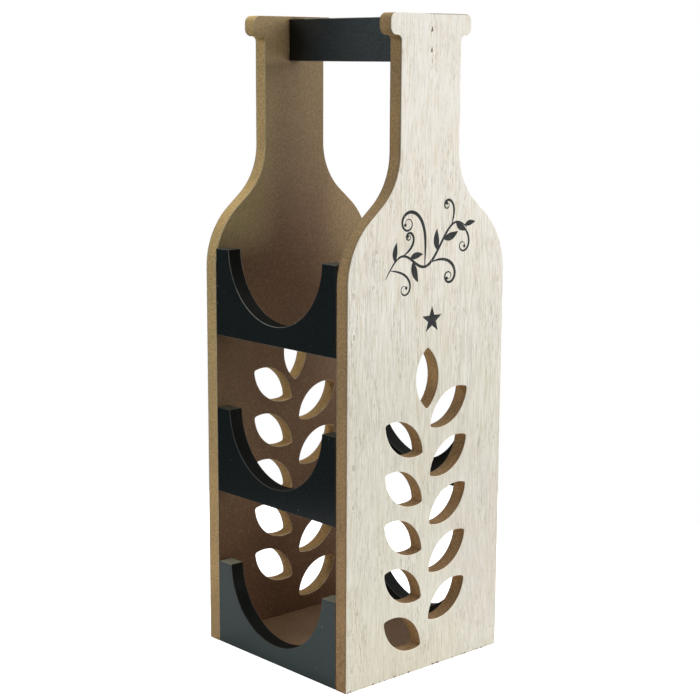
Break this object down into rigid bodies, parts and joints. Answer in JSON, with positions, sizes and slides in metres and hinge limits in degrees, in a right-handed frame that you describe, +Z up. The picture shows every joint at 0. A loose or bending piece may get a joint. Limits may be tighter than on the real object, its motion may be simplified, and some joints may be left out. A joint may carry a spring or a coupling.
{
  "type": "wooden bottle holder",
  "caption": "Upright carrying rack with two bottle-shaped side panels that holds wine bottles lying one above the other between arched cradles under a handle bar.",
  "frame": {"origin": "middle of the rack's footprint, on the surface it stands on", "axes": "+Z up, X across from one side panel to the other, Y along the lying bottles, with the front cradles at -Y"},
  "size_m": [0.1214, 0.1194, 0.366],
  "materials": {
    "fibreboard": "bare matt fibreboard",
    "veneer": "whitewashed matt wood veneer",
    "dark_paint": "satin blue-black paint on fibreboard",
    "steel": "dull coated steel"
  },
  "bodies": {
    "root": {"side_panel_right": "fibreboard", "face_veneer_right": "veneer", "side_panel_left": "fibreboard", "face_veneer_left": "veneer", "front_cradle_bottom": "dark_paint", "front_cradle_middle": "dark_paint", "front_cradle_top": "dark_paint", "rear_cradle_bottom": "dark_paint", "rear_cradle_middle": "dark_paint", "rear_cradle_top": "dark_paint", "handle_bar": "dark_paint", "base_board": "fibreboard", "brad_front_bottom_right_low": "steel", "brad_front_bottom_right_high": "steel", "brad_front_middle_right_low": "steel", "brad_front_middle_right_high": "steel", "brad_front_top_right_low": "steel", "brad_front_top_right_high": "steel", "brad_rear_bottom_right_low": "steel", "brad_rear_bottom_right_high": "steel", "brad_rear_middle_right_low": "steel", "brad_rear_middle_right_high": "steel", "brad_rear_top_right_low": "steel", "brad_rear_top_right_high": "steel", "brad_handle_right_low": "steel", "brad_handle_right_high": "steel", "brad_front_bottom_left_low": "steel", "brad_front_bottom_left_high": "steel", "brad_front_middle_left_low": "steel", "brad_front_middle_left_high": "steel", "brad_front_top_left_low": "steel", "brad_front_top_left_high": "steel", "brad_rear_bottom_left_low": "steel", "brad_rear_bottom_left_high": "steel", "brad_rear_middle_left_low": "steel", "brad_rear_middle_left_high": "steel", "brad_rear_top_left_low": "steel", "brad_rear_top_left_high": "steel", "brad_handle_left_low": "steel", "brad_handle_left_high": "steel"}
  },
  "joints": []
}
